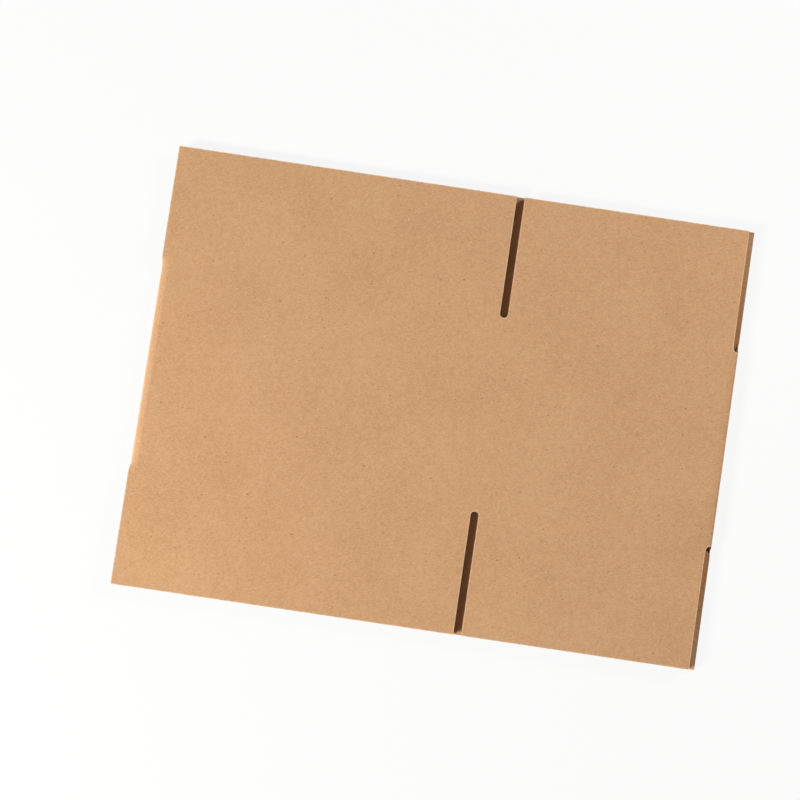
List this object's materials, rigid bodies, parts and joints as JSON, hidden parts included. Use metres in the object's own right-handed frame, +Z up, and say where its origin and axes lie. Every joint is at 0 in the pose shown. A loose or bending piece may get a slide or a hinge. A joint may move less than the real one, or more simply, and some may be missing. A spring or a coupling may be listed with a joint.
{
  "type": "flattened cardboard box",
  "caption": "Slotted carton of kraft corrugated board, glued and folded flat, with open flute ends, round-ended slots between the flaps and pressed score lines.",
  "frame": {"origin": "on the surface that the flat carton lies on, under the middle of its outline", "axes": "+X across the panels, from fold to fold; +Y up the box, along the flutes; +Z up, out of the upper face"},
  "size_m": [0.5142, 0.389, 0.0074],
  "materials": {
    "kraft_board": "matte brown kraft paper"
  },
  "bodies": {
    "root": {"flattened_carton": "kraft_board"}
  },
  "joints": []
}
